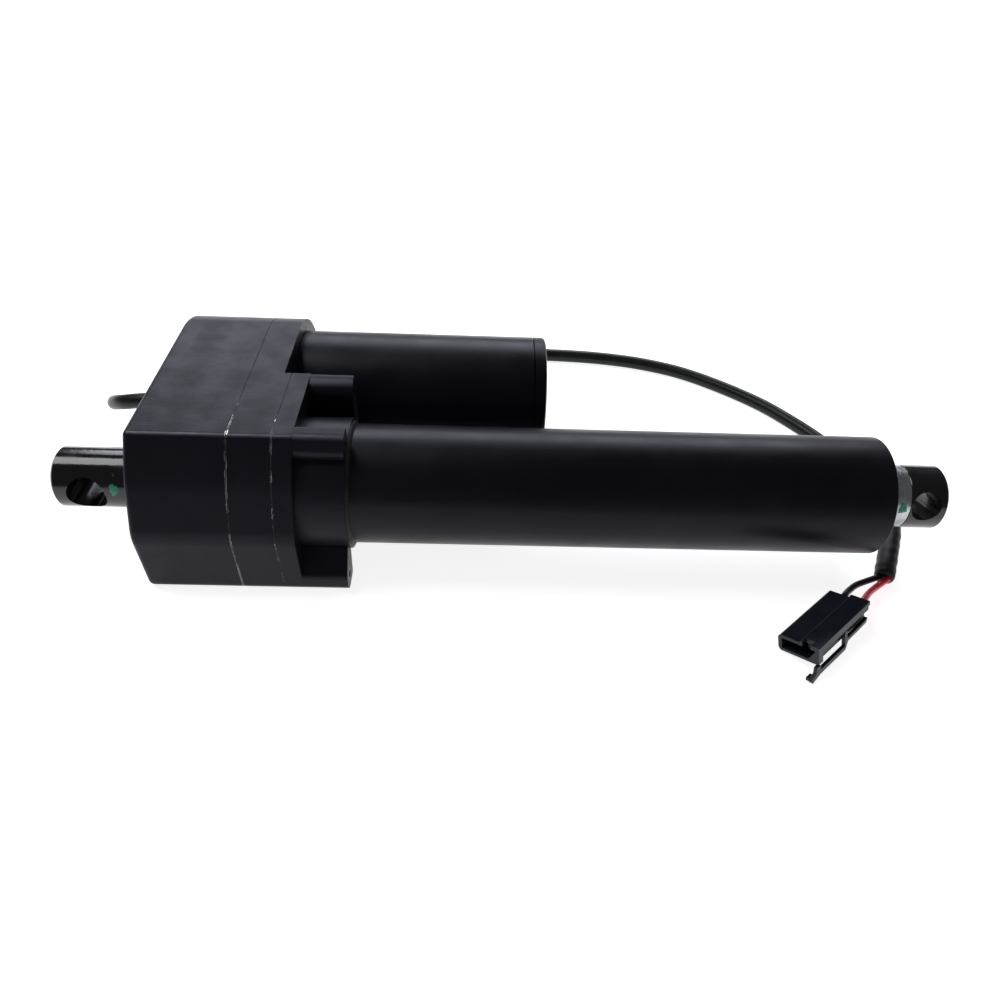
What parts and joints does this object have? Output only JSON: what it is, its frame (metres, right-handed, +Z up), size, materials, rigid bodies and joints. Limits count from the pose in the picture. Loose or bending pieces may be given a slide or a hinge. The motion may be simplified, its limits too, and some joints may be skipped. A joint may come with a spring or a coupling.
{
  "type": "linear actuator",
  "caption": "Electric linear actuator: parallel motor and gearbox drive a lead screw that pushes a rod out of a round cover tube, with clevis and rod pin holes and a cable with a connector.",
  "frame": {"origin": "centre of the rear clevis pin hole, on the lead screw's axis", "axes": "+X along the lead screw towards the rod end, +Y from the screw axis to the motor axis, parallel to the rear pin hole, +Z up, square to the gearbox's flat base"},
  "size_m": [0.3915, 0.2363, 0.068],
  "materials": {
    "casting_paint": "black satin paint over cast aluminium, bright at the seams",
    "tube_paint": "smooth black satin paint",
    "fitting_paint": "gloss black paint on turned steel",
    "black_screws": "black oxide steel",
    "steel": "bright zinc plated steel",
    "bearing_steel": "ground bearing steel",
    "screw_steel": "rolled steel thread, greased",
    "rod_steel": "brushed bright steel tube",
    "gear_steel": "cut steel",
    "zinc_plate": "zinc plated sheet steel",
    "core_steel": "laminated electrical steel",
    "magnet": "dark ferrite",
    "gasket": "thin dark fibre gasket",
    "seal_rubber": "matt black rubber",
    "bush_plastic": "natural acetal",
    "nylon": "natural nylon",
    "board": "green circuit board",
    "switch_plastic": "black switch housing",
    "bronze": "sintered bronze",
    "copper": "enamelled copper",
    "carbon": "carbon",
    "brush_board": "brown laminate",
    "cable_jacket": "black PVC jacket",
    "shrink_sleeve": "matt black shrink sleeve",
    "red_insulation": "red PVC insulation",
    "connector_plastic": "moulded black nylon",
    "terminal_brass": "tinned brass"
  },
  "bodies": {
    "housing": {"rear_housing": "casting_paint", "rear_clevis": "fitting_paint", "clevis_screw": "steel", "gearbox_gasket": "gasket", "gear_plate": "casting_paint", "front_gasket": "gasket", "front_housing": "casting_paint", "cover_screws": "black_screws", "housing_screws": "black_screws", "cover_tube": "tube_paint", "tube_seal": "seal_rubber", "front_bush": "bush_plastic", "wiper_seal": "seal_rubber", "retaining_ring": "steel", "limit_board": "board", "limit_switches": "switch_plastic", "rear_bearing_ring": "bearing_steel", "rear_bearing_balls": "bearing_steel", "front_bearing_ring": "bearing_steel", "front_bearing_balls": "bearing_steel", "idler_axle": "steel", "idler_washers": "steel", "motor_can": "tube_paint", "motor_front_plate": "zinc_plate", "motor_end_cap": "tube_paint", "motor_screws": "steel", "motor_magnets": "magnet", "motor_bushes": "bronze", "brush_holder": "brush_board", "brushes": "carbon", "motor_leads": "red_insulation", "cable_grommet": "seal_rubber", "cable": "cable_jacket", "cable_sleeve": "shrink_sleeve", "black_wire": "cable_jacket", "red_wire": "red_insulation", "connector_housing": "connector_plastic", "connector_terminals": "terminal_brass"},
    "screw": {"lead_screw": "screw_steel", "drive_gear": "gear_steel", "gear_key": "steel", "spacer_sleeve": "steel", "rear_bearing_race": "bearing_steel", "front_bearing_race": "bearing_steel", "screw_guide": "nylon"},
    "idler": {"idler_wheel": "nylon", "idler_pinion": "gear_steel"},
    "rotor": {"motor_shaft": "steel", "motor_pinion": "gear_steel", "armature_core": "core_steel", "armature_windings": "copper", "commutator": "copper"},
    "rod": {"drive_nut": "bush_plastic", "rod_tube": "rod_steel", "nut_pins": "steel", "rod_end": "fitting_paint"},
    "latch": {"connector_latch": "connector_plastic"}
  },
  "joints": [
    {"name": "rod_slide", "type": "slide", "parent": "housing", "child": "rod", "axis": [1, 0, 0], "range_m": [0, 0.15]},
    {"name": "screw_spin", "type": "hinge", "parent": "housing", "child": "screw", "pos_m": [0, 0, 0], "axis": [-1, 0, 0], "range_deg": [0, 6752]},
    {"name": "idler_spin", "type": "hinge", "parent": "housing", "child": "idler", "pos_m": [0, 0.035, 0], "axis": [-1, 0, 0], "range_deg": [-12155, 0]},
    {"name": "rotor_spin", "type": "hinge", "parent": "housing", "child": "rotor", "pos_m": [0, 0.06875, 0], "axis": [-1, 0, 0], "range_deg": [0, 42540]},
    {"name": "latch_press", "type": "hinge", "parent": "housing", "child": "latch", "pos_m": [0.31039, -0.05654, -0.02441], "axis": [0.6103, -0.7145, 0.342], "range_deg": [0, 4], "stiffness_Nm_per_rad": 0.5, "springref_deg": -1.15}
  ],
  "couplings": [
    {"joint": "screw_spin", "follows": "rod_slide", "rad_per_m": 785.4},
    {"joint": "idler_spin", "follows": "rod_slide", "rad_per_m": -1413.7},
    {"joint": "rotor_spin", "follows": "rod_slide", "rad_per_m": 4948}
  ]
}
